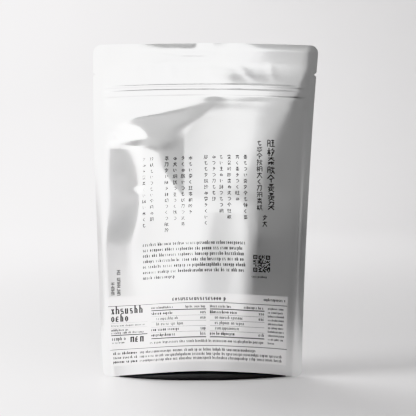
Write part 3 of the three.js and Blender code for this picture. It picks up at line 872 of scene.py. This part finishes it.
# The side column of fine type, whose last line is short.
SIDE_LEFT, SIDE_RIGHT, SIDE_SHORT, SIDE_TOP, SIDE_PITCH, SIDE_LINES = 37.6, 47.9, 42.0, 41.0, 2.42, 10
for i in range(SIDE_LINES):
    right = SIDE_SHORT if i == SIDE_LINES - 1 else SIDE_RIGHT
    label_marks += type_line(SIDE_LEFT, right, SIDE_TOP - SIDE_PITCH * i, tall=0.95, weight=0.22)

# Under the ruled field each line opens with bolder type.
for h, right in ((13.8, 30.8), (11.1, 46.9), (8.5, 46.9)):
    label_marks += type_line(-57.7, -42.0, h, tall=1.35, weight=0.48, pitch=0.8)
    label_marks += type_line(-40.8, right, h, tall=1.35, weight=0.31, pitch=0.74)
label_print = print_marks("label_print", label_marks, INK_ON_PAPER, ink)

# ------------------------------------------------------------------------------------------------
# The studio.
# A pale matte sheet on a table sweeps up behind the pouch. Soft window-like lights stand round it,
# and the camera stands straight in front, hardly above the pouch's middle.

# Metres from here on. The table ends just out of the picture at the right, and the paper widens
# behind it.
FLOOR_HALF_WIDTH, FLOOR_FRONT = 3.2, -2.6
TABLE_RIGHT, TABLE_BACK = 0.2, 0.45
SWEEP_START, SWEEP_RADIUS, SWEEP_STEPS, WALL_TOP = 1.7, 0.7, 16, 2.6
profile = [(FLOOR_FRONT, 0.0), (TABLE_BACK, 0.0), (2 * TABLE_BACK, 0.0), (SWEEP_START, 0.0)]
profile += [(SWEEP_START + SWEEP_RADIUS * math.sin(a), SWEEP_RADIUS * (1 - math.cos(a)))
            for a in np.linspace(0.1, math.pi / 2, SWEEP_STEPS)]
profile += [(SWEEP_START + SWEEP_RADIUS, WALL_TOP)]
steps_back = len(profile) - 1
bpy.ops.mesh.primitive_grid_add(x_subdivisions=1, y_subdivisions=steps_back, size=2)
floor = bpy.context.object
floor.name = "studio_floor"
flat = flat_vertices(floor)
row_index = np.rint((flat[:, 1] + 1) / 2 * steps_back).astype(int)
row_y, row_z = np.array(profile)[row_index].T
right_side = np.where(row_index < 2, TABLE_RIGHT, FLOOR_HALF_WIDTH)
floor_x = np.where(flat[:, 0] > 0, right_side, -FLOOR_HALF_WIDTH)
place_vertices(floor, np.stack([floor_x, row_y, row_z], axis=1) / MM)
bpy.ops.object.shade_smooth()
floor_paint = new_material("studio_floor", (0.71, 0.702, 0.705), 0.5)
shader_of(floor_paint).inputs["Specular IOR Level"].default_value = 0.4
floor.data.materials.append(floor_paint)

AIM = (0.0, 0.0, 0.1)  # the pouch's middle


def soft_light(name, azimuth, elevation, distance, width, height, radiance, aim=AIM):
    """A rectangular area light facing the pouch, from a direction round it (0 is the camera's)."""
    a, e = math.radians(azimuth), math.radians(elevation)
    away = (math.sin(a) * math.cos(e), -math.cos(a) * math.cos(e), math.sin(e))
    bpy.ops.object.light_add(type="AREA", location=[c + distance * v for c, v in zip(aim, away)])
    lamp = bpy.context.object
    lamp.name = name
    lamp.data.shape = "RECTANGLE"
    lamp.data.size, lamp.data.size_y = width, height
    lamp.data.energy = radiance * math.pi * width * height
    lamp.rotation_euler = (math.pi / 2 - e, 0, a)
    lamp.visible_camera = False
    return lamp


# A broad softbox to the left of the camera and a key light further left, which throws the shadow;
# pale walls and ceiling as fill, and a darker right side. As name, azimuth, elevation, distance,
# width, height and radiance.
LIGHTS = (("softbox", -28, 15, 1.5, 2.35, 1.25, 1.8),
          ("key", -65, 28, 1.1, 0.5, 0.5, 10.0),
          ("left_wall", -105, 20, 1.6, 1.5, 1.5, 0.45),
          ("back_left", -150, 32, 1.8, 1.2, 1.2, 4.0),
          ("ceiling", -20, 74, 1.6, 2.0, 1.5, 0.7),
          ("front_right_wall", 32, 18, 1.6, 1.3, 1.4, 0.64),
          ("right_wall", 85, 15, 1.6, 1.6, 1.6, 0.29))
for light in LIGHTS:
    soft_light(*light)

# One lamp brightens the sweep behind the pouch, mostly at the left.
BACKDROP_AIM = (-1.02, 2.3, 0.54)
backdrop_light = soft_light("backdrop_light", -50, 22, 2.4, 0.8, 0.8, 23.0, aim=BACKDROP_AIM)
backdrop_light.data.spread = math.radians(90)

# Past the sweep's edges the camera sees a pale room, which gives no light.
ROOM_BRIGHTNESS = 0.7
world = bpy.data.worlds.new("room")
bpy.context.scene.world = world
world.use_nodes = True
background = world.node_tree.nodes["Background"]
background.inputs["Color"].default_value = (1, 1, 1, 1)
background.inputs["Strength"].default_value = ROOM_BRIGHTNESS
for ray in ("diffuse", "glossy", "transmission", "scatter"):
    setattr(world.cycles_visibility, ray, False)

CAMERA_DISTANCE, CAMERA_ELEVATION = 1.2, math.radians(2.5)
CAMERA_AIM = (0.00096, 0.0, 0.10505)
bpy.ops.object.camera_add(
    location=(CAMERA_AIM[0], -CAMERA_DISTANCE * math.cos(CAMERA_ELEVATION),
              CAMERA_AIM[2] + CAMERA_DISTANCE * math.sin(CAMERA_ELEVATION)),
    rotation=(math.pi / 2 - CAMERA_ELEVATION, 0, 0))
camera = bpy.context.object
camera.data.lens = 167.3
camera.data.sensor_width = 36
bpy.context.scene.camera = camera
bpy.context.scene.view_settings.view_transform = "Khronos PBR Neutral"
